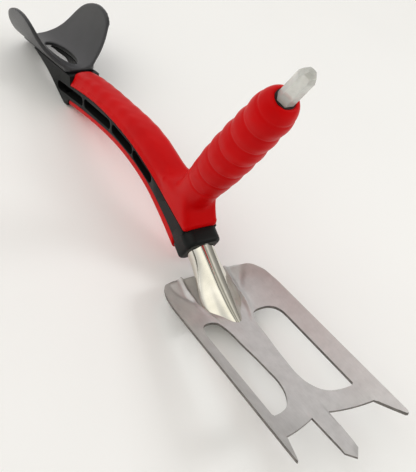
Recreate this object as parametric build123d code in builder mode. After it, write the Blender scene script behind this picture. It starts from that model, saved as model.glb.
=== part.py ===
from build123d import *
from math import atan2, cos, degrees, radians, sin, sqrt
import os

# Garden hand fork with a pistol grip and a forearm brace, lying at rest on its tail and blade.
# Everything is drawn in the tool's own side plane: u runs along the blade towards the tines,
# v stands square to the blade. u = 0 is the line across the outer tine points and v = 0 is the
# underside of the flat centre rail. The side plane is then tipped so that the tool rests on
# z = 0 with its tail corner and the back edge of its blade.

# ---- resting attitude ----
tail_corner_u = -454.0
tail_corner_v = 47.6
blade_back_u = -193.5
rest_tilt = degrees(atan2(tail_corner_v - 0.15, blade_back_u - tail_corner_u))
origin_y = 286.094
origin_z = 34.675

# ---- stainless blade ----
sheet_thick = 2.2
rail_flat_half = 6.0
dish_radius = 70.0
blade_half = 47.5
tine_tip_u = 7.0
window_outer = 35.4

# ---- neck tube ----
neck_radius = 11.5
neck_wall = 1.8
neck_slope = 33.4
neck_start = (-201.3, 27.8)
neck_inside = 42.0
pin_radius = 2.5
pin_reach = 13.4

# ---- dark moulded core ----
beam_half = 15.5
spine_half = 10.5
collar_width = 32.0
collar_height = 31.0
collar_length = 13.0
slot_height = 9.3
slot_depth = 9.0

# ---- pistol grip ----
grip_base = (-207.0, 88.5)
grip_lean = 36.65
grip_length = 129.0
grip_core_radius = 12.3
rib_height = 0.35

# ---- faceted point ----
crystal_flat = 11.7
crystal_out = 32.0
crystal_in = 40.9
bush_gap = 0.08
bush_outer = 7.6
bush_depth = 44.0
bush_floor = 3.0

# ---- forearm cuff ----
# an oval trough whose floor falls slightly towards the elbow
cuff_front = (-455.0, 84.5)
cuff_fall = 3.8
cuff_bowl_half = 43.5
cuff_bowl_high = 70.0
cuff_thick = 4.0
hole_length = 76.0
hole_width = 17.0
hole_u = -502.0
screw_radius = 1.9
screw_head_radius = 3.6
screw_head_high = 2.4
screw_spots = (-8.6, 8.6)
screw_u = -457.0
screw_seat = 70.0
screw_top = 83.0

os.makedirs("parts", exist_ok=True)

tilt_cos = cos(radians(rest_tilt))
tilt_sin = sin(radians(rest_tilt))
along = Vector(0, tilt_cos, tilt_sin)
square = Vector(0, -tilt_sin, tilt_cos)
tool_origin = Vector(0, origin_y, origin_z)


def spot(u, v, x=0.0):
    return tool_origin + along * u + square * v + Vector(x, 0, 0)


# side: local x is u, local y is v. top: local x is x, local y is u.
side = Plane(origin=tool_origin, x_dir=along, z_dir=(1, 0, 0))
top = Plane(origin=tool_origin, x_dir=(1, 0, 0), z_dir=square)


def across(u, v=0.0, turn=0.0):
    # plane square to a line in the side plane, facing back along it; local x is x
    turn = radians(turn)
    facing = along * -cos(turn) + square * -sin(turn)
    return Plane(origin=spot(u, v), x_dir=(1, 0, 0), z_dir=facing)


neck_u = cos(radians(-neck_slope))
neck_v = sin(radians(-neck_slope))


def neck_spot(s):
    return (neck_start[0] + neck_u * s, neck_start[1] + neck_v * s)


grip_u = sin(radians(grip_lean))
grip_v = cos(radians(grip_lean))


def grip_spot(s):
    return (grip_base[0] + grip_u * s, grip_base[1] + grip_v * s)


def grip_plane(s):
    # looks out along the grip; local x is x
    facing = along * grip_u + square * grip_v
    return Plane(origin=spot(*grip_spot(s)), x_dir=(1, 0, 0), z_dir=facing)


# the cuff's floor plane: local x is x, local y runs towards the tines
fall = radians(cuff_fall)
cuff_along = along * cos(fall) + square * sin(fall)
cuff_up = square * cos(fall) - along * sin(fall)
cuff_plane = Plane(origin=spot(*cuff_front), x_dir=(1, 0, 0), z_dir=cuff_up)


# ---- curves of the arm beam, in (u, v) ----
band_top = [(-447, 70.5), (-406, 77), (-377, 79.5), (-344, 79.5), (-318, 77.5), (-293, 73.6),
            (-274, 69), (-258, 64.3), (-242, 58.6), (-224, 52.3), (-205, 46)]
band_low = [(-454, 54), (-415, 60), (-379, 63.4), (-346, 65.6), (-318, 65), (-291, 61.6),
            (-272, 57), (-257, 51.6), (-239, 43.4), (-223.5, 34.8), (-214, 26.5)]
strip_low = [(-454, 47.6), (-413, 53), (-377, 56.3), (-344, 57.6), (-316, 56.2), (-289, 51.6),
             (-269, 45.6), (-252, 37.6), (-236, 29), (-223, 21), (-213, 15.6)]
pad_top = [(-442, 83.6), (-420, 87.5), (-382, 90.2), (-344, 91), (-301, 90.2), (-280, 86.6),
           (-261, 81), (-241, 75)]

# ---- flared neck shape, used for the tube and for the opening it leaves in the blade ----
# each entry: distance from the collar face along the neck, half width, half height
flare = [(2, 11.5, 11.5), (14, 12.2, 11.4), (28, 15.6, 11.6), (44, 19.5, 11.8), (60, 18.6, 11.6),
         (76, 12.0, 10.6), (88, 6.0, 9.0)]


def flare_solid(shrink):
    with BuildPart() as body:
        for s, wide, high in flare:
            with BuildSketch(across(*neck_spot(s), -neck_slope)):
                Ellipse(wide - shrink, high - shrink)
        loft()
    return body.part


flare_outer = flare_solid(0.0)
flare_inner = flare_solid(neck_wall)

# ---- two steel pins that hold the neck tube in the handle, hidden under the soft skins ----
with BuildPart() as neck_pins:
    for s in (-19.0, -33.0):
        pin_axis = along * -neck_v + square * neck_u
        with BuildSketch(Plane(origin=spot(*neck_spot(s)) - pin_axis * pin_reach,
                               x_dir=(1, 0, 0), z_dir=pin_axis)):
            Circle(pin_radius)
        extrude(amount=2 * pin_reach)

# ---- fork blade: a dished stainless pressing with two windows and three tines ----
with BuildPart() as fork_blade:
    # bent sheet section, swept straight along the blade
    with BuildSketch(across(12)):
        with BuildLine():
            low = dish_radius + sheet_thick
            bottom = Line((0, 0), (rail_flat_half, 0))
            outer = CenterArc((rail_flat_half, low), low, -90, 40)
            inner = CenterArc((rail_flat_half, low), dish_radius, -90, 40)
            Line(outer @ 1, inner @ 1)
            Line(inner @ 0, (0, sheet_thick))
            Line((0, sheet_thick), (0, 0))
        make_face()
        mirror(about=Plane.YZ)
    extrude(amount=212)
    # outline with pointed outer tines, a swept crossbar and rounded shoulders
    with BuildSketch(top):
        with BuildLine():
            Polyline((0, tine_tip_u), (5.7, 0.5), (7.3, -33.0), (37.6, -22.8), (45.9, -0.6),
                     (46.8, 0.2), (47.4, -1.2), (blade_half, -150))
            shoulder = Spline((blade_half, -150), (46.9, -168), (43, -181.5), (36, -189.8),
                              (26, -193), (14, -193.5), tangents=[(0, -1), (-1, 0)])
            Line((14, -193.5), (0, -193.5))
            Line((0, -193.5), (0, tine_tip_u))
        make_face()
        mirror(about=Plane.YZ)
        # windows: sharp at the outer front corner, wide curve beside the rail
        with BuildLine():
            Polyline((window_outer, -41), (window_outer, -125))
            Spline((window_outer, -125), (33.4, -135), (29.6, -139.8), (24.6, -142),
                   (18, -141.6), tangents=[(0, -1), (-1, 0.35)])
            Spline((18, -141.6), (14.6, -138), (11.2, -112), (8.6, -82), (8.4, -68), (11.6, -57),
                   (17.4, -48.6), (25, -44))
            Line((25, -44), (window_outer, -41))
        make_face(mode=Mode.SUBTRACT)
        with BuildLine():
            Polyline((-window_outer, -41), (-window_outer, -125))
            Spline((-window_outer, -125), (-33.4, -135), (-29.6, -139.8), (-24.6, -142),
                   (-18, -141.6), tangents=[(0, -1), (1, 0.35)])
            Spline((-18, -141.6), (-14.6, -138), (-11.2, -112), (-8.6, -82), (-8.4, -68),
                   (-11.6, -57), (-17.4, -48.6), (-25, -44))
            Line((-25, -44), (-window_outer, -41))
        make_face(mode=Mode.SUBTRACT)
    extrude(amount=60, both=True, mode=Mode.INTERSECT)
    # the neck grows out of this opening
    add(flare_outer, mode=Mode.SUBTRACT)

# ---- neck tube: round in the handle, flared and cut off level where it joins the blade ----
with BuildPart() as neck_tube:
    with BuildSketch(across(*neck_spot(2), -neck_slope)):
        Circle(neck_radius)
    extrude(amount=neck_inside + 2)
    add(flare_outer)
    with BuildSketch(across(*neck_spot(2), -neck_slope)):
        Circle(neck_radius - neck_wall)
    extrude(amount=neck_inside + 2, mode=Mode.SUBTRACT)
    add(flare_inner, mode=Mode.SUBTRACT)
    add(neck_pins.part, mode=Mode.SUBTRACT)
    # nothing hangs below the blade
    with BuildSketch(side):
        with Locations((-160, -29.9)):
            Rectangle(140, 60)
    extrude(amount=60, both=True, mode=Mode.SUBTRACT)

# ---- the room that the neck tube and pins take up in the handle ----
with BuildPart() as neck_room:
    with BuildSketch(across(*neck_spot(4), -neck_slope)):
        Circle(neck_radius)
    extrude(amount=neck_inside + 4.5)
    add(neck_pins.part)

# ---- dark core: band with pockets, spine, collar, tail and the pistol's inner tube ----
with BuildPart() as handle_core:
    # visible side band
    with BuildSketch(side):
        with BuildLine():
            upper = Spline(*band_top)
            lower = Spline(*band_low)
            Line(upper @ 0, lower @ 0)
            Line(upper @ 1, lower @ 1)
        make_face()
    extrude(amount=beam_half, both=True)
    # narrower spine that carries the soft skins
    with BuildSketch(side):
        with BuildLine():
            ridge = Spline(*[(u, v - 6.5) for u, v in pad_top[1:]])
            belly = Spline(*[(u, v + 3.0) for u, v in strip_low])
            Line(ridge @ 0, (-447, 72))
            Line((-447, 72), belly @ 0)
            Polyline(ridge @ 1, (-214, 68), (-209, 48), belly @ 1)
        make_face()
    extrude(amount=spine_half, both=True)
    # collar round the neck
    with BuildSketch(across(*neck_start, -neck_slope)):
        RectangleRounded(collar_width, collar_height, 9)
    extrude(amount=collar_length)
    fillet(handle_core.faces().filter_by(
        lambda f: (f.center() - spot(*neck_start)).length < 1).edges(), 3)
    # tail under the cuff
    with BuildSketch(side):
        with BuildLine():
            Polyline((-440, 81.5), (-538, 75.0), (-538, 74.0))
            Spline((-538, 74.0), (-522, 71.2), (-505, 67.2), (-488, 61.4), (-470, 53.6), (-454, 47.6))
            Polyline((-454, 47.6), (-446, 48.4), (-438, 62), (-440, 81.5))
        make_face()
    extrude(amount=beam_half, both=True)
    # inner tube of the pistol grip
    with BuildSketch(grip_plane(-26)):
        Circle(grip_core_radius)
    extrude(amount=grip_length + 26 - 6)
    # hollow underneath the cuff
    with BuildSketch(top.offset(72)):
        with Locations((0, -507)):
            RectangleRounded(21, 58, 6)
    extrude(amount=-50, mode=Mode.SUBTRACT)
    # the tail stops under the cuff's floor
    with BuildSketch(cuff_plane.offset(-cuff_thick)):
        with Locations((0, -60)):
            Rectangle(80, 110)
    extrude(amount=30, mode=Mode.SUBTRACT)
    # rounded slots along both sides, the rearmost reaching into the tail
    for start, end in (((-466, 61.6), (-412, 67.6)), ((-400, 69.4), (-350, 72.4)),
                       ((-338, 72.2), (-305, 69.6)), ((-295, 68.0), (-268, 61.6))):
        middle = ((start[0] + end[0]) / 2, (start[1] + end[1]) / 2 + 0.5)
        reach = sqrt((end[0] - start[0]) ** 2 + (end[1] - start[1]) ** 2)
        lean = degrees(atan2(end[1] - start[1], end[0] - start[0]))
        for face in (-beam_half, beam_half - slot_depth):
            with BuildSketch(side.offset(face)):
                with Locations(middle):
                    SlotCenterToCenter(reach, slot_height, rotation=lean)
            extrude(amount=slot_depth, mode=Mode.SUBTRACT)
    # socket for the neck tube and its pins
    add(neck_room.part, mode=Mode.SUBTRACT)
    # bore for the rubber bush
    with BuildSketch(grip_plane(grip_length)):
        Circle(bush_outer)
    extrude(amount=-bush_depth, mode=Mode.SUBTRACT)
    # counterbored holes for the cuff screws
    for x in screw_spots:
        with BuildSketch(top.offset(screw_seat)):
            with Locations((x, screw_u)):
                Circle(screw_head_radius + 0.5)
        extrude(amount=-40, mode=Mode.SUBTRACT)
        with BuildSketch(top.offset(screw_seat)):
            with Locations((x, screw_u)):
                Circle(screw_radius)
        extrude(amount=screw_top - screw_seat, mode=Mode.SUBTRACT)
    # oval opening, shared with the cuff
    with BuildSketch(top.offset(60)):
        with Locations((0, hole_u)):
            Ellipse(hole_width / 2, hole_length / 2)
    extrude(amount=40, mode=Mode.SUBTRACT)

# ---- red soft skin: domed pad on the beam running into the ribbed pistol sleeve ----
grip_line = along * grip_u + square * grip_v
with BuildPart() as soft_skin:
    with BuildSketch(side):
        with BuildLine():
            crown = Spline(*pad_top)
            seat = Spline(*band_top)
            Line(crown @ 0, seat @ 0)
            Polyline(crown @ 1, (-226, 76), (-209, 77), (-207.5, 64), (-203.2, 52),
                     (-203.8, 47.8), seat @ 1)
        make_face()
    extrude(amount=beam_half, both=True)
    long_edges = soft_skin.edges().filter_by(lambda e: e.length > 180 and abs(e.center().X) > 5)
    fillet(long_edges.sort_by(lambda e: (e.center() - tool_origin).dot(square))[-2:], 9.5)
    # front end rounded like the collar below it
    with BuildSketch(top):
        with Locations((0, -332)):
            RectangleRounded(2 * beam_half, 266, 9)
    extrude(amount=120, mode=Mode.INTERSECT)
    # sleeve: gentle finger ribs, a slim far end and a domed tip, turned about the grip
    with BuildSketch(Plane(origin=spot(*grip_base), x_dir=along * grip_v - square * grip_u,
                           z_dir=(1, 0, 0))):
        with BuildLine():
            rim = [(14.6, -30), (15.2, -17), (15.6, -8), (15.9, 0)]
            for rib, body in enumerate((16.3, 17.2, 17.4, 17.1, 16.5, 15.9)):
                rim += [(body - rib_height, 6 + rib * 18.5), (body + rib_height, 15.2 + rib * 18.5)]
            rim += [(15.0, 117), (13.2, 123.5), (11.0, 127.4), (bush_outer + 1.2, grip_length)]
            edge = Spline(*rim)
            Polyline(edge @ 1, (0, grip_length), (0, -30), edge @ 0)
        make_face()
    revolve(axis=Axis(spot(*grip_base), grip_line))
    add(handle_core.part, mode=Mode.SUBTRACT)
    with BuildSketch(grip_plane(grip_length - bush_depth)):
        Circle(bush_outer)
    extrude(amount=bush_depth + 5, mode=Mode.SUBTRACT)
    add(neck_room.part, mode=Mode.SUBTRACT)

# ---- red strip along the belly of the beam ----
with BuildPart() as belly_strip:
    with BuildSketch(side):
        with BuildLine():
            roof = Spline(*band_low)
            keel = Spline(*strip_low)
            Line(roof @ 0, keel @ 0)
            Line(roof @ 1, keel @ 1)
        make_face()
    extrude(amount=beam_half - 0.5, both=True)
    long_edges = belly_strip.edges().filter_by(lambda e: e.length > 180 and abs(e.center().X) > 5)
    fillet(long_edges.sort_by(lambda e: (e.center() - tool_origin).dot(square))[:2], 4)
    # the strip stops short of the tail and of the collar
    with BuildSketch(side):
        with Locations((-460, 50), (-207, 20)):
            Rectangle(28, 40)
    extrude(amount=30, both=True, mode=Mode.SUBTRACT)
    add(handle_core.part, mode=Mode.SUBTRACT)
    add(neck_room.part, mode=Mode.SUBTRACT)

# ---- forearm cuff: saddle sheet with two paddle wings on a flat boss ----
with BuildPart() as forearm_cuff:
    bowl_centre = cuff_bowl_high
    with BuildSketch(Plane(origin=spot(*cuff_front) + cuff_along * 12, x_dir=(1, 0, 0),
                           z_dir=cuff_along * -1)):
        with Locations((0, bowl_centre)):
            Ellipse(cuff_bowl_half + cuff_thick, cuff_bowl_high + cuff_thick)
            Ellipse(cuff_bowl_half, cuff_bowl_high, mode=Mode.SUBTRACT)
        # flat boss that sits on the tail
        with Locations((0, -1.0)):
            Rectangle(2 * beam_half, 6)
        with Locations((0, bowl_centre)):
            Ellipse(cuff_bowl_half, cuff_bowl_high, mode=Mode.SUBTRACT)
        with Locations((0, 110)):
            Rectangle(140, 120, mode=Mode.SUBTRACT)
    extrude(amount=145)
    # outline of the two wings seen from the side
    with BuildSketch(side):
        with BuildLine():
            wing = Spline((-448.2, 84.6), (-455, 89.5), (-461.5, 96), (-467.6, 106.6), (-474, 118),
                          (-483, 124.6), (-495, 127.6), (-508, 127.4), (-525, 123.6),
                          (-541, 115.6), (-552, 104.6), (-561, 91), (-570, 80.6), (-575, 76.6))
            Polyline(wing @ 1, (-576, 60), (-448.2, 60), wing @ 0)
        make_face()
    extrude(amount=70, both=True, mode=Mode.INTERSECT)
    # rounded back edge, narrow front edge
    with BuildSketch(top):
        with BuildLine():
            right_rim = Spline((12, -448.2), (17.6, -455), (25, -461), (33, -467), (40, -474))
            left_rim = Spline((-12, -448.2), (-17.6, -455), (-25, -461), (-33, -467), (-40, -474))
            Line(right_rim @ 0, left_rim @ 0)
            Polyline(right_rim @ 1, (50, -474), (50, -556), (30, -563), (16, -571), (6, -574.6),
                     (-6, -574.6), (-16, -571), (-30, -563), (-50, -556), (-50, -474),
                     left_rim @ 1)
        make_face()
        with Locations((0, hole_u)):
            Ellipse(hole_width / 2, hole_length / 2, mode=Mode.SUBTRACT)
    extrude(amount=160, mode=Mode.INTERSECT)
    for x in screw_spots:
        with BuildSketch(top.offset(screw_seat)):
            with Locations((x, screw_u)):
                Circle(screw_radius)
        extrude(amount=screw_top - screw_seat, mode=Mode.SUBTRACT)

# ---- two pan-head screws, driven up through the tail into the cuff ----
with BuildPart() as cuff_screws:
    for x in screw_spots:
        with BuildSketch(top.offset(screw_seat)):
            with Locations((x, screw_u)):
                Circle(screw_head_radius)
        extrude(amount=-screw_head_high)
        with BuildSketch(top.offset(screw_seat)):
            with Locations((x, screw_u)):
                Circle(screw_radius)
        extrude(amount=screw_top - screw_seat)

# ---- rubber bush: a cup that lines the bore and grips the faceted point ----
with BuildPart() as crystal_bush:
    with BuildSketch(grip_plane(grip_length - bush_depth)):
        Circle(bush_outer)
    extrude(amount=bush_depth - 0.6)
    with BuildSketch(grip_plane(grip_length - bush_depth + bush_floor)):
        RegularPolygon(crystal_flat / sqrt(3) + bush_gap, 6)
    extrude(amount=bush_depth, mode=Mode.SUBTRACT)

# ---- clear faceted point: six-sided rod with a two-step six-sided tip ----
with BuildPart() as crystal_point:
    corner = crystal_flat / sqrt(3)
    with BuildSketch(grip_plane(grip_length - crystal_in)):
        RegularPolygon(corner, 6)
    extrude(amount=crystal_in + crystal_out - 6.6)
    with BuildSketch(grip_plane(grip_length + crystal_out - 6.6)):
        RegularPolygon(corner, 6)
    with BuildSketch(grip_plane(grip_length + crystal_out - 2.5)):
        RegularPolygon(5.1, 6)
    loft()
    with BuildSketch(grip_plane(grip_length + crystal_out - 2.5)):
        RegularPolygon(5.1, 6)
    with BuildSketch(grip_plane(grip_length + crystal_out)):
        RegularPolygon(2.4, 6)
    loft()

nodes = {
    "fork_blade": fork_blade,
    "neck_tube": neck_tube,
    "neck_pins": neck_pins,
    "handle_core": handle_core,
    "soft_skin": soft_skin,
    "belly_strip": belly_strip,
    "forearm_cuff": forearm_cuff,
    "cuff_screws": cuff_screws,
    "crystal_bush": crystal_bush,
    "crystal_point": crystal_point,
}
for name, piece in nodes.items():
    piece.part.label = name
    export_step(piece.part, f"parts/{name}.step")
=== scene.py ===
import math
import bpy
import bmesh
from mathutils import Vector, Matrix


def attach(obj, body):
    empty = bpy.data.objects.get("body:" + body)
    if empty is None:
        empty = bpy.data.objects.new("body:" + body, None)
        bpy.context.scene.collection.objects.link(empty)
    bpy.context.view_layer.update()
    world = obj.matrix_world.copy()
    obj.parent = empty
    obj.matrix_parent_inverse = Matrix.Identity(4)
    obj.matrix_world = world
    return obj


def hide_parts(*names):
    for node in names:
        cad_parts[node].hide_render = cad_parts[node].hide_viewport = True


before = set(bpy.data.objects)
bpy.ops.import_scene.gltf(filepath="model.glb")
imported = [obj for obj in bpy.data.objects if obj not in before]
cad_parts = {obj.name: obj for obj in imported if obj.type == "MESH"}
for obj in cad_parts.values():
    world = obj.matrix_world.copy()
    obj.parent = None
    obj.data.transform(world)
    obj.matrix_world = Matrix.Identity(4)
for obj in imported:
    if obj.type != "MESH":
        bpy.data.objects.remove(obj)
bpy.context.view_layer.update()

# The tool's own axes: x across it, u along the blade towards the tines, v square to the blade.
# Pieces are drawn in those axes in millimetres and then laid at rest in the row's frame.
restTilt = math.radians(10.3232)
toolFrame = (Matrix.Translation((0, 0.286094, 0.034675)) @ Matrix.Rotation(restTilt, 4, "X")
             @ Matrix.Scale(0.001, 4))
neckStart = (-201.3, 27.8)
neckSlope = math.radians(33.4)
gripBase = (-207.0, 88.5)
gripLean = math.radians(36.65)
gripFrame = (Matrix.Translation((0, gripBase[0], gripBase[1]))
             @ Matrix.Rotation(-gripLean, 4, "X"))


def linear(code):
    parts = [int(code[i:i + 2], 16) / 255 for i in (1, 3, 5)]
    parts = [p / 12.92 if p <= 0.04045 else ((p + 0.055) / 1.055) ** 2.4 for p in parts]
    return (*parts, 1.0)


def addNode(tree, kind, values=None, **settings):
    node = tree.nodes.new(kind)
    for key, value in settings.items():
        setattr(node, key, value)
    for key, value in (values or {}).items():
        if isinstance(value, bpy.types.NodeSocket):
            tree.links.new(value, node.inputs[key])
        else:
            node.inputs[key].default_value = value
    return node


def makeMaterial(name, look):
    material = bpy.data.materials.new(name)
    material.use_nodes = True
    tree = material.node_tree
    tree.nodes.clear()
    where = addNode(tree, "ShaderNodeTexCoord")
    # pattern axes follow the tool, one unit to the millimetre before stretching
    stretch = look.get("stretch", (1, 1, 1))
    turned = addNode(tree, "ShaderNodeMapping", {
        "Vector": where.outputs["Object"], "Rotation": (-restTilt, 0, 0)})
    mapped = addNode(tree, "ShaderNodeMapping", {
        "Vector": turned.outputs["Vector"], "Scale": tuple(1000 / s for s in stretch)})
    broad = addNode(tree, "ShaderNodeTexNoise", {
        "Vector": where.outputs["Object"], "Scale": 1000 / look["patch"], "Detail": 3.0,
        "Roughness": 0.55})
    fine = addNode(tree, "ShaderNodeTexNoise", {
        "Vector": mapped.outputs["Vector"], "Scale": 1 / look["grain"], "Detail": 3.0,
        "Roughness": 0.6})
    tint = addNode(tree, "ShaderNodeValToRGB", {"Fac": broad.outputs["Fac"]})
    tint.color_ramp.elements[0].position = 0.3
    tint.color_ramp.elements[1].position = 0.7
    tint.color_ramp.elements[0].color = linear(look["dark"])
    tint.color_ramp.elements[1].color = linear(look["light"])
    rough = addNode(tree, "ShaderNodeMapRange", {
        "Value": fine.outputs["Fac"], "From Min": 0.3, "From Max": 0.7,
        "To Min": look["rough"][0], "To Max": look["rough"][1]})
    bump = addNode(tree, "ShaderNodeBump", {
        "Strength": 1.0, "Distance": look["relief"] / 1000, "Height": fine.outputs["Fac"]})
    surface = addNode(tree, "ShaderNodeBsdfPrincipled", {
        "Base Color": tint.outputs["Color"], "Roughness": rough.outputs["Result"],
        "Normal": bump.outputs["Normal"], **look.get("surface", {})})
    addNode(tree, "ShaderNodeOutputMaterial", {"Surface": surface.outputs["BSDF"]})
    return material


# Every size here is in millimetres: patch is the breadth of the slow colour change, grain the
# size of the fine pattern, relief its height, stretch how far it is drawn out along x, u and v.
looks = {
    # satin rolled stainless sheet: soft grey with fine lines along the blade, the lines drawn
    # several times coarser than real ones so that they can be seen at all
    "sheet": ("satin rolled stainless sheet", {
        "dark": "#bebcbb", "light": "#c8c6c5", "rough": (0.38, 0.6), "patch": 9, "grain": 0.9,
        "stretch": (1, 7, 1), "relief": 0.08, "surface": {"Metallic": 0.85}}),
    # sheared edge of the sheet: rougher than its faces and darker; the darker colour is a painted
    # dark reflection on the cut edges
    "shearedEdgePaintedDark": ("sheared stainless edge", {
        "dark": "#6a6764", "light": "#8c8884", "rough": (0.4, 0.55), "patch": 6, "grain": 0.4,
        "relief": 0.02, "surface": {"Metallic": 1.0}}),
    # buffed stainless tube: a near mirror, faintly wavy from the buffing wheel
    "tube": ("buffed stainless tube", {
        "dark": "#d6d3c8", "light": "#e4e1d8", "rough": (0.05, 0.11), "patch": 14, "grain": 6,
        "relief": 0.05, "surface": {"Metallic": 1.0}}),
    # zinc plated steel: pale, slightly mottled
    "plated": ("zinc plated steel", {
        "dark": "#9c9a96", "light": "#b4b2ae", "rough": (0.25, 0.4), "patch": 3, "grain": 0.3,
        "relief": 0.01, "surface": {"Metallic": 1.0}}),
    # moulded glass-filled nylon: dark slate, fine spark-eroded grain
    "core": ("grained slate nylon moulding", {
        "dark": "#060909", "light": "#0c0f0f", "rough": (0.42, 0.55), "patch": 30, "grain": 0.3,
        "relief": 0.03, "surface": {"Specular IOR Level": 0.2}}),
    # the same nylon, rougher, painted near black inside the slots as painted shade in the
    # recesses
    "slot": ("black nylon with painted slot shade", {
        "dark": "#020202", "light": "#040404", "rough": (0.8, 0.9), "patch": 8, "grain": 0.3,
        "relief": 0.02, "surface": {"Specular IOR Level": 0.15}}),
    # smoother nylon of the cuff: greyer, with a broad soft sheen
    "cuff": ("satin grey nylon moulding", {
        "dark": "#1f2023", "light": "#2a2a2e", "rough": (0.32, 0.42), "patch": 30, "grain": 0.35,
        "relief": 0.02}),
    # overmoulded soft elastomer: strong red with a silky highlight
    "skin": ("red overmoulded elastomer", {
        "dark": "#bf0003", "light": "#cc0104", "rough": (0.34, 0.44), "patch": 35, "grain": 0.4,
        "relief": 0.02, "surface": {"Specular IOR Level": 0.08}}),
    # soft black rubber of the bush, tinted dark maroon as painted shade of the red bore around
    # the clear point
    "bush": ("dark rubber with painted bore shade", {
        "dark": "#160405", "light": "#240708", "rough": (0.55, 0.7), "patch": 5, "grain": 0.25,
        "relief": 0.03}),
    # cast acrylic: faintly milky grey, facets polished but not sharp to look through
    "clear": ("cast milky acrylic", {
        "dark": "#e0e1dd", "light": "#f4f4f0", "rough": (0.05, 0.14), "patch": 5, "grain": 2.5,
        "relief": 0.012, "surface": {"Transmission Weight": 0.5, "IOR": 1.49}}),
    # painted studio floor: plain and pale
    "floor": ("matt white studio floor", {
        "dark": "#fafafa", "light": "#fefefe", "rough": (0.8, 0.9), "patch": 400, "grain": 3,
        "relief": 0.01}),
}
materials = {key: makeMaterial(*value) for key, value in looks.items()}
print("materials made:", len(materials))


def smoothStep(low, high, value):
    t = min(1.0, max(0.0, (value - low) / (high - low)))
    return t * t * (3 - 2 * t)


def between(table, at):
    at = min(max(at, table[0][0]), table[-1][0])
    for i in range(len(table) - 1):
        if at <= table[i + 1][0]:
            break
    one, two = table[i], table[i + 1]
    before, after = table[max(i - 1, 0)], table[min(i + 2, len(table) - 1)]
    span = two[0] - one[0]
    t = (at - one[0]) / span
    found = []
    for k in range(1, len(one)):
        leave = (two[k] - before[k]) / (two[0] - before[0]) * span
        arrive = (after[k] - one[k]) / (after[0] - one[0]) * span
        found.append((2 * t**3 - 3 * t**2 + 1) * one[k] + (t**3 - 2 * t**2 + t) * leave
                     + (3 * t**2 - 2 * t**3) * two[k] + (t**3 - t**2) * arrive)
    return found


def makeObject(name, bm, inRow=True):
    if inRow:
        bm.transform(toolFrame)
    bmesh.ops.recalc_face_normals(bm, faces=bm.faces)
    mesh = bpy.data.meshes.new(name)
    bm.to_mesh(mesh)
    bm.free()
    obj = bpy.data.objects.new(name, mesh)
    bpy.context.scene.collection.objects.link(obj)
    return obj


def copyNode(node):
    bm = bmesh.new()
    bm.from_mesh(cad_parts[node].data)
    bm.transform(toolFrame.inverted())
    bmesh.ops.remove_doubles(bm, verts=bm.verts, dist=0.002)
    return bm


def bake(obj):
    bpy.context.view_layer.update()
    mesh = bpy.data.meshes.new_from_object(
        obj.evaluated_get(bpy.context.evaluated_depsgraph_get()))
    obj.modifiers.clear()
    obj.data = mesh
    return obj


def cut(obj, cutter, operation):
    step = obj.modifiers.new("cut", "BOOLEAN")
    step.operation = operation
    step.solver = "EXACT"
    step.material_mode = "TRANSFER"
    step.object = cutter
    bake(obj)
    bpy.data.objects.remove(cutter)


def toBmesh(obj):
    bm = bmesh.new()
    bm.from_mesh(obj.data)
    bpy.data.objects.remove(obj)
    return bm


def remesh(bm, voxel):
    obj = makeObject("draft", bm, inRow=False)
    step = obj.modifiers.new("remesh", "REMESH")
    step.mode = "VOXEL"
    step.voxel_size = voxel
    return toBmesh(bake(obj))


def soften(bm, times, where=None):
    verts = [v for v in bm.verts if where is None or where(v.co)]
    for turn in range(times):
        bmesh.ops.smooth_vert(bm, verts=verts, factor=0.5, use_axis_x=True, use_axis_y=True,
                              use_axis_z=True)


def shade(obj, degrees):
    obj.data.shade_smooth()
    obj.data.set_sharp_from_angle(angle=math.radians(degrees))


def roundEdges(obj, width, degrees, segments=2):
    step = obj.modifiers.new("edges", "BEVEL")
    step.width = width / 1000
    step.segments = segments
    step.limit_method = "ANGLE"
    step.angle_limit = math.radians(degrees)
    step.harden_normals = True


def dress(obj, look, body, slot, *nodes):
    if look:
        obj.data.materials.clear()
        obj.data.materials.append(materials[look])
    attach(obj, body)
    if nodes:
        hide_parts(*nodes)
    print("piece made:", obj.name)


def outlinePrism(name, loops, low, high):
    data = bpy.data.curves.new(name, "CURVE")
    data.dimensions = "2D"
    data.fill_mode = "BOTH"
    data.resolution_u = 8
    data.extrude = (high - low) / 2
    for loop in loops:
        spline = data.splines.new("BEZIER")
        spline.bezier_points.add(len(loop) - 1)
        for point, (x, u, kind) in zip(spline.bezier_points, loop):
            point.co = (x, u, 0)
            point.handle_left_type = point.handle_right_type = kind
        spline.use_cyclic_u = True
    obj = bpy.data.objects.new(name, data)
    bpy.context.scene.collection.objects.link(obj)
    bpy.context.view_layer.update()
    mesh = bpy.data.meshes.new_from_object(
        obj.evaluated_get(bpy.context.evaluated_depsgraph_get()))
    bpy.data.objects.remove(obj)
    bm = bmesh.new()
    bm.from_mesh(mesh)
    bmesh.ops.remove_doubles(bm, verts=bm.verts, dist=0.001)
    bmesh.ops.translate(bm, verts=bm.verts, vec=(0, 0, (high + low) / 2))
    return makeObject(name, bm, inRow=False)


# neck: a buffed tube that spreads into a fluted foot where it meets the blade
neck = {
    # distance along the neck, half width, half height, depth of the side flutes
    "rings": [(-3, 11.5, 11.5, 0.0), (10, 11.6, 11.5, 0.02), (22, 13.4, 11.6, 0.08),
              (34, 16.0, 12.0, 0.15), (46, 17.4, 12.8, 0.2), (58, 16.6, 13.9, 0.2),
              (70, 13.4, 15.8, 0.16), (82, 9.6, 18.6, 0.1), (94, 6.0, 21.4, 0.04),
              (104, 3.0, 22.6, 0.0)],
    "wall": 1.8,
    "stations": 46,
    "around": 72,
    # along the neck: reach of the bore, and of the room it takes up in the blade with its gap
    "bore": (-30, 98),
    "room": (-3, 92),
    "gap": 0.05,
    # the foot is cut off level just above the blade's underside
    "level": 0.3,
}


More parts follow.
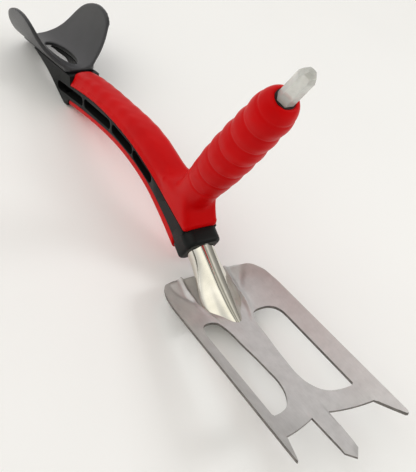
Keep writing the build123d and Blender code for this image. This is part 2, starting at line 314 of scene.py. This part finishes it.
def neckShape(shrink, first, last):
    bm = bmesh.new()
    loops = []
    for i in range(neck["stations"]):
        s = first + (last - first) * i / (neck["stations"] - 1)
        wide, high, flute = between(neck["rings"], s)
        ring = bmesh.ops.create_circle(bm, segments=neck["around"], radius=1.0)["verts"]
        for v in ring:
            x, y = v.co.x, v.co.y
            pinch = 1 - flute * (2 * x * y) ** 2
            v.co = (x * (wide - shrink) * pinch, y * (high - shrink) * pinch, 0)
        place = (Matrix.Translation((0, neckStart[0] + s * math.cos(neckSlope),
                                     neckStart[1] - s * math.sin(neckSlope)))
                 @ Matrix.Rotation(math.pi / 2 - neckSlope, 4, "X"))
        bmesh.ops.transform(bm, matrix=place, verts=ring)
        loops.append([e for e in bm.edges if e.verts[0] in ring and e.verts[1] in ring])
    for one, two in zip(loops, loops[1:]):
        bmesh.ops.bridge_loops(bm, edges=one + two)
    return bm


def closeEnds(bm):
    bmesh.ops.holes_fill(bm, edges=[e for e in bm.edges if e.is_boundary], sides=0)
    return bm


bm = neckShape(0, neck["rings"][0][0], neck["rings"][-1][0])
bm = closeEnds(bm)
neckTube = makeObject("neckTubeBuffed", bm, inRow=False)
cutter = makeObject("inside", closeEnds(neckShape(neck["wall"], *neck["bore"])), inRow=False)
cut(neckTube, cutter, "DIFFERENCE")
bm = toBmesh(neckTube)
bmesh.ops.bisect_plane(bm, geom=bm.verts[:] + bm.edges[:] + bm.faces[:],
                       plane_co=(0, 0, neck["level"]), plane_no=(0, 0, -1), clear_outer=True)
closeEnds(bm)
neckTube = makeObject("neckTubeBuffed", bm)
shade(neckTube, 40)
dress(neckTube, "tube", "tool", "neck_steel", "neck_tube")

# blade: a dished sheet, curled up at the shoulders and beside the neck
blade = {
    "thick": 2.2,
    # blank: width, length and middle along u, in squares of one millimetre
    "blank": (100, 208, -93.5),
    "railHalf": 6.0,
    "dish": 72.2,
    # the shoulders roll up behind this arc: centre x, centre u, radius, width, rise
    "curl": (17.0, -149.0, 28.6, 12.0, 2.4),
    "curlFade": (-150, -168),
    "curlMost": 1.2,
    # between shoulder and neck a valley runs along this line: x, u, its direction, depth, rise
    "valley": (32.5, -180.0, (-0.585, 0.812), 1.0, 0.12),
    # middle and width of the valley behind that line, and where it dies out in u and in x
    "valleyShape": (3.0, 3.4),
    "valleyFade": ((-158, -142), (30, 40)),
    # a thin lip stands along the neck: u, distance from the middle, height
    "lip": [(-196, 20.2, 2.6), (-184, 20.6, 2.5), (-172, 20.2, 2.3), (-161, 19.2, 2.0),
            (-150, 17.2, 1.5), (-142, 14.8, 1.0), (-132, 10.0, 0.3), (-124, 6.0, 0.0)],
    "lipWidth": (1.4, 2.6),
    # low mound that leads from the neck's toe into the rail: centre u, reach, height
    "mound": (-131.0, 9.0, 0.9),
    # ground edge along the front of the crossbar: two points of its line, width, drop
    "ground": ((7.6, -41.5), (34.0, -31.5), 8.5, 0.7),
    # the crossbar's ground edge lies between these distances from the middle, behind this u
    "groundSpan": (7.0, 39, -20),
    # centre tine: half width and u at its shoulder, tip's rise past it, width of its ground edge
    "tine": (5.7, 0.5, 6.5, 3.4),
    "tineStart": -8,
    "outline": [(0, 7, "VECTOR"), (5.7, 0.5, "VECTOR"), (7.3, -33, "VECTOR"),
                (37.6, -22.8, "VECTOR"), (45.9, -0.6, "VECTOR"), (46.8, 0.2, "VECTOR"),
                (47.4, -1.2, "VECTOR"), (47.5, -146, "VECTOR"), (47.2, -160, "AUTO"),
                (44.6, -176, "AUTO"), (37.6, -187.4, "AUTO"), (27, -192.4, "AUTO"),
                (14, -193.5, "VECTOR")],
    "window": [(35.4, -42.6, "VECTOR"), (35.4, -122, "VECTOR"), (34.6, -131, "AUTO"),
               (31, -138.4, "AUTO"), (24.6, -142, "AUTO"), (18, -141.6, "AUTO"),
               (14.6, -136, "AUTO"), (11.2, -112, "AUTO"), (8.8, -84, "AUTO"),
               (8.5, -69, "AUTO"), (11.6, -57, "AUTO"), (17.4, -48.6, "AUTO"),
               (25, -44.2, "AUTO"), (34, -41.3, "VECTOR")],
}


def bladeLift(x, u):
    reach = max(0.0, abs(x) - blade["railHalf"])
    lift = blade["dish"] - math.sqrt(blade["dish"] ** 2 - reach ** 2)
    cx, cu, radius, width, rise = blade["curl"]
    if u < cu or abs(x) > cx:
        out = math.hypot(max(0.0, abs(x) - cx), min(0.0, u - cu)) - radius
        away = smoothStep(*blade["curlFade"], u)
        lift += rise * max(0.0, min(blade["curlMost"], out / width)) ** 2 * away
    fx, fu, (dx, du), depth, rise = blade["valley"]
    behind = (abs(x) - fx) * -du + (u - fu) * dx
    centre, breadth = blade["valleyShape"]
    along, aside = blade["valleyFade"]
    shape = rise * max(0.0, behind - centre)
    shape -= depth * math.exp(-((behind - centre) / breadth) ** 2)
    lift += shape * (1 - smoothStep(*along, u)) * (1 - smoothStep(*aside, abs(x)))
    middle, height = between(blade["lip"], u)
    gap = abs(x) - middle
    inner, outer = blade["lipWidth"]
    lift += height * math.exp(-(gap / (outer if gap > 0 else inner)) ** 2)
    cu, reach, height = blade["mound"]
    lift += height * math.exp(-(x * x + (u - cu) ** 2) / reach ** 2)
    return lift


def groundDrop(x, u):
    (x0, u0), (x1, u1), width, drop = blade["ground"]
    length = math.hypot(x1 - x0, u1 - u0)
    ahead = ((u - u0) * (x1 - x0) - (abs(x) - x0) * (u1 - u0)) / length
    lower = 0.0
    near, far, behind = blade["groundSpan"]
    if near < abs(x) < far and u < behind:
        lower = drop * min(1.0, max(0.0, ahead / width))
    half, shoulder, rise, edge = blade["tine"]
    inside = ((half - abs(x)) * rise + (shoulder - u) * half) / math.hypot(half, rise)
    if abs(x) < near and u > blade["tineStart"]:
        lower = max(lower, drop * min(1.0, max(0.0, 1 - inside / edge)))
    return lower


def mirrored(loop):
    return [(-x, u, kind) for x, u, kind in reversed(loop) if x > 0]


bm = bmesh.new()
wide, long, middle = blade["blank"]
for side in (0, 1):
    made = bmesh.ops.create_grid(bm, x_segments=wide, y_segments=long, size=0.5)["verts"]
    bmesh.ops.scale(bm, vec=(wide, long, 1), verts=made)
    bmesh.ops.translate(bm, vec=(0, middle, 0), verts=made)
    for v in made:
        x, u = v.co.x, v.co.y
        v.co.z = bladeLift(x, u)
        if side:
            reach = max(0.0, abs(x) - blade["railHalf"])
            v.co.z += blade["thick"] / math.sqrt(1 - (reach / blade["dish"]) ** 2)
            v.co.z -= groundDrop(x, u)
bmesh.ops.bridge_loops(bm, edges=[e for e in bm.edges if e.is_boundary])
sheet = makeObject("bladeSheet", bm, inRow=False)
loops = [blade["outline"] + mirrored(blade["outline"]), blade["window"],
         mirrored(blade["window"])]
sheet.data.materials.append(materials["sheet"])
prism = outlinePrism("outline", loops, -30, 60)
# the cut edges take the darker colour, a painted dark reflection
prism.data.materials.append(materials["shearedEdgePaintedDark"])
cut(sheet, prism, "INTERSECT")
cutter = makeObject("foot", closeEnds(neckShape(neck["gap"], *neck["room"])), inRow=False)
cut(sheet, cutter, "DIFFERENCE")
finishes = list(sheet.data.materials)
bladeSheet = makeObject("bladeSheet", toBmesh(sheet))
for finish in finishes:
    bladeSheet.data.materials.append(finish)
roundEdges(bladeSheet, 0.3, 50)
shade(bladeSheet, 35)
dress(bladeSheet, None, "tool", "blade_steel", "fork_blade")

# soft skin: pad and pistol grip in one overmoulding
skin = {
    "voxel": 1.0,
    # top edge of the dark band that the pad sits on: u, v
    "seat": [(-447, 70.5), (-406, 77), (-377, 79.5), (-344, 79.5), (-318, 77.5), (-293, 73.6),
             (-274, 69), (-258, 64.3), (-242, 58.6), (-224, 52.3), (-205, 46)],
    # the pad's sides lean in by this share, and its middle rises by this height
    "crown": (0.13, 0.8),
    # faint finger ripples near the pad's edges: spacing along u, slant, height
    "ripple": (19.0, 0.35, 0.22),
    # creases round the grip: first, spacing, count, half width, depth
    "crease": (6.0, 18.5, 7, 1.3, 0.55),
    "creaseSpan": (1, 122),
    "creaseRadius": (10, 20),
    # the pad's shaping starts this far above its seat and fades out before the grip
    "leanRise": (0.5, 6.5),
    "crownAbove": 4,
    "crownHalf": 9,
    "padFade": (-262, -236),
    # smoothing turns over all the skin and where the grip leaves the pad
    "turns": 7,
    "notchTurns": 36,
    "notch": (-246, -190),
    "notchLow": 6,
    "notchHigh": 100,
    # skin that is left sharp: this near the seat, this far out, behind this u
    "sharpAbove": 1.2,
    "sharpOut": 14,
    "sharpBehind": -205,
    # where the ripples start and end, how steep a face may be, and the least height
    "rippleSpan": (-432, -410, -285, -262),
    "rippleFacing": (0.3, 0.6),
    "rippleOut": (1, 7),
    "rippleAbove": 78,
}
outOfGrip = gripFrame.inverted()


def nearNotch(co):
    first, last = skin["notch"]
    low = between(skin["seat"], co.y)[0] + skin["notchLow"]
    return first < co.y < last and low < co.z < skin["notchHigh"]


def offSeat(co):
    if co.y > skin["sharpBehind"] or abs(co.x) < skin["sharpOut"]:
        return True
    return co.z > between(skin["seat"], co.y)[0] + skin["sharpAbove"]


bm = remesh(copyNode("soft_skin"), skin["voxel"])
lean, rise = skin["crown"]
for v in bm.verts:
    x, u, up = v.co
    if u < skin["padFade"][1]:
        above = up - between(skin["seat"], u)[0]
        fade = 1 - smoothStep(*skin["padFade"], u)
        v.co.x -= x * lean * smoothStep(*skin["leanRise"], above) * fade
        if above > skin["crownAbove"]:
            v.co.z += rise * fade * (1 - (x / skin["crownHalf"]) ** 2)
soften(bm, skin["turns"], offSeat)
soften(bm, skin["notchTurns"], nearNotch)
pitch, slant, height = skin["ripple"]
start, full, less, end = skin["rippleSpan"]
bm.normal_update()
for v in bm.verts:
    x, u, up = v.co
    if start < u < end and v.normal.z > skin["rippleFacing"][0] and up > skin["rippleAbove"]:
        mask = smoothStep(start, full, u) * (1 - smoothStep(less, end, u))
        mask *= smoothStep(*skin["rippleFacing"], v.normal.z)
        mask *= smoothStep(*skin["rippleOut"], abs(x))
        v.co.z += height * mask * math.sin(2 * math.pi * (u + slant * abs(x)) / pitch)
first, spacing, count, half, depth = skin["crease"]
foot, head = skin["creaseSpan"]
inner, outer = skin["creaseRadius"]
bm.normal_update()
for v in bm.verts:
    x, y, s = outOfGrip @ v.co
    if foot < s < head and inner < math.hypot(x, y) < outer:
        k = min(max(round((s - first) / spacing), 0), count - 1)
        deep = depth * math.exp(-((s - first - k * spacing) / half) ** 2)
        v.co -= v.normal * deep * smoothStep(foot, foot + 4, s)
softSkin = makeObject("softSkinMoulded", bm)
shade(softSkin, 60)
dress(softSkin, "skin", "tool", "red_elastomer", "soft_skin")

# belly strip under the beam
strip = {"voxel": 0.8, "turns": 2}
bm = remesh(copyNode("belly_strip"), strip["voxel"])
soften(bm, strip["turns"])
bellyStrip = makeObject("bellyStripMoulded", bm)
shade(bellyStrip, 60)
dress(bellyStrip, "skin", "tool", "red_elastomer", "belly_strip")

# forearm cuff: rims rounded as on a moulding
cuff = {"voxel": 0.8, "turns": 8}
bm = remesh(copyNode("forearm_cuff"), cuff["voxel"])
soften(bm, cuff["turns"])
forearmCuff = makeObject("forearmCuffMoulded", bm)
shade(forearmCuff, 60)
dress(forearmCuff, "cuff", "tool", "cuff_nylon", "forearm_cuff")

# rubber bush round the clear point
bush = {"edge": 0.25, "sharper": 40, "segments": 3}
rubberBush = makeObject("rubberBushMoulded", copyNode("crystal_bush"))
roundEdges(rubberBush, bush["edge"], bush["sharper"], bush["segments"])
shade(rubberBush, bush["sharper"])
# the bush's maroon tint is painted shade of the red bore
dress(rubberBush, "bush", "tool", "bush_rubber", "crystal_bush")

# clear point
point = {"edge": 0.15, "sharper": 15, "facet": 10}
clearPoint = makeObject("clearPointPolished", copyNode("crystal_point"))
roundEdges(clearPoint, point["edge"], point["sharper"])
shade(clearPoint, point["facet"])
dress(clearPoint, "clear", "point", "clear_acrylic", "crystal_point")

# core: edges eased as on a moulding, slot faces painted near black as painted shade
core = {
    "edge": 0.4,
    "sharper": 55,
    "facet": 35,
    # the slots, whose faces get the painted shade, lie inside this half width, between these u,
    # above this v, this far under the seat
    "slotHalf": 15.3,
    "slotSpan": (-474, -258),
    "slotLow": 50,
    "slotUnder": 0.3,
}
handleCore = makeObject("handleCoreMoulded", copyNode("handle_core"))
handleCore.data.materials.append(materials["core"])
handleCore.data.materials.append(materials["slot"])
intoTool = toolFrame.inverted()
# faces deep in the slots take the near-black material: painted shade in the recesses
for face in handleCore.data.polygons:
    x, u, up = intoTool @ face.center
    high = between(skin["seat"], u)[0] - core["slotUnder"]
    inSpan = core["slotSpan"][0] < u < core["slotSpan"][1]
    if abs(x) < core["slotHalf"] and inSpan and core["slotLow"] < up < high:
        face.material_index = 1
roundEdges(handleCore, core["edge"], core["sharper"])
shade(handleCore, core["facet"])
dress(handleCore, None, "tool", "core_nylon", "handle_core")

# pieces shown as they are, with their finishes
for node, look in (("neck_pins", "plated"), ("cuff_screws", "plated")):
    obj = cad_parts[node]
    obj.data.materials.clear()
    obj.data.materials.append(materials[look])

# studio
studio = {
    # place, aim, width, height, power in watts; broad enough to look no brighter than the walls
    "lamps": [((1.3, -0.2, 1.3), (0, 0, 0), 2.6, 2.4, 12),
              ((-1.3, 0.9, 1.1), (0, 0.1, 0), 0.6, 0.6, 8),
              ((-0.5, -1.2, 1.6), (0, 0, 0), 2.2, 1.6, 4)],
    "world": 1.0,
    "floorHalf": 12.0,
    # the greys change from ahead to behind between these directions along the tool
    "turn": (-0.28, -0.45),
    # greys round the studio from the -x side to the +x side, ahead of and behind the tool
    "ahead": [(0.02, "#8e8c88"), (0.13, "#b4b2ae"), (0.24, "#f4f2ec"), (0.36, "#94928a"),
              (0.48, "#dcdad2"), (0.60, "#74726c"), (0.72, "#e4e0d0"), (0.86, "#cecabc"),
              (0.97, "#64625c")],
    "behind": [(0.0, "#eceae8"), (0.25, "#dcdada"), (0.5, "#e2e0df"), (0.75, "#f2f0ee"),
               (1.0, "#e2e0de")],
}


def aimed(place, aim):
    turn = (Vector(place) - Vector(aim)).to_track_quat("Z", "Y")
    return Matrix.Translation(place) @ turn.to_matrix().to_4x4()


for i, (place, aim, wide, high, watts) in enumerate(studio["lamps"]):
    data = bpy.data.lights.new(f"softbox{i}", "AREA")
    data.shape = "RECTANGLE"
    data.size = wide
    data.size_y = high
    data.energy = watts
    lamp = bpy.data.objects.new(f"softbox{i}", data)
    lamp.matrix_world = aimed(place, aim)
    bpy.context.scene.collection.objects.link(lamp)

world = bpy.data.worlds.new("studio")
bpy.context.scene.world = world
world.use_nodes = True
tree = world.node_tree
tree.nodes.clear()
where = addNode(tree, "ShaderNodeTexCoord")
split = addNode(tree, "ShaderNodeSeparateXYZ", {0: where.outputs["Generated"]})
sideways = addNode(tree, "ShaderNodeMapRange", {
    "Value": split.outputs["X"], "From Min": -1.0, "From Max": 1.0})
turnBack = addNode(tree, "ShaderNodeMapRange", {
    "Value": split.outputs["Y"], "From Min": studio["turn"][0],
    "From Max": studio["turn"][1]})
greys = []
for key in ("ahead", "behind"):
    ramp = addNode(tree, "ShaderNodeValToRGB", {"Fac": sideways.outputs["Result"]})
    greys.append(ramp.outputs["Color"])
    stops = ramp.color_ramp.elements
    while len(stops) < len(studio[key]):
        stops.new(1.0)
    for stop, (at, grey) in zip(stops, studio[key]):
        stop.position = at
        stop.color = linear(grey)
walls = addNode(tree, "ShaderNodeMix", {
    0: turnBack.outputs["Result"], 6: greys[0], 7: greys[1]}, data_type="RGBA")
sky = addNode(tree, "ShaderNodeBackground", {
    "Color": walls.outputs[2], "Strength": studio["world"]})
plain = addNode(tree, "ShaderNodeBackground", {"Color": (1, 1, 1, 1), "Strength": 1.0})
path = addNode(tree, "ShaderNodeLightPath")
mixed = addNode(tree, "ShaderNodeMixShader", {
    0: path.outputs["Is Camera Ray"], 1: sky.outputs["Background"],
    2: plain.outputs["Background"]})
addNode(tree, "ShaderNodeOutputWorld", {"Surface": mixed.outputs["Shader"]})

bm = bmesh.new()
bmesh.ops.create_grid(bm, x_segments=1, y_segments=1, size=studio["floorHalf"])
floor = makeObject("floor", bm, inRow=False)
floor.data.materials.append(materials["floor"])

# camera: where it stands, its right and up directions, and its lens
camera = {
    "place": (0.2868, 0.42494, 0.44249),
    "right": (-0.85162, 0.48172, 0.2066),
    "up": (-0.20426, -0.668, 0.71558),
    "lens": 57.2,
}
data = bpy.data.cameras.new("camera")
data.lens = camera["lens"]
data.sensor_fit = "AUTO"
data.sensor_width = 36
data.clip_start = 0.01
view = bpy.data.objects.new("camera", data)
right = Vector(camera["right"]).normalized()
back = right.cross(Vector(camera["up"])).normalized()
turn = Matrix((right, back.cross(right), back)).transposed().to_4x4()
view.matrix_world = Matrix.Translation(camera["place"]) @ turn
bpy.context.scene.collection.objects.link(view)
bpy.context.scene.camera = view
bpy.context.scene.view_settings.view_transform = "Standard"
print("studio made")
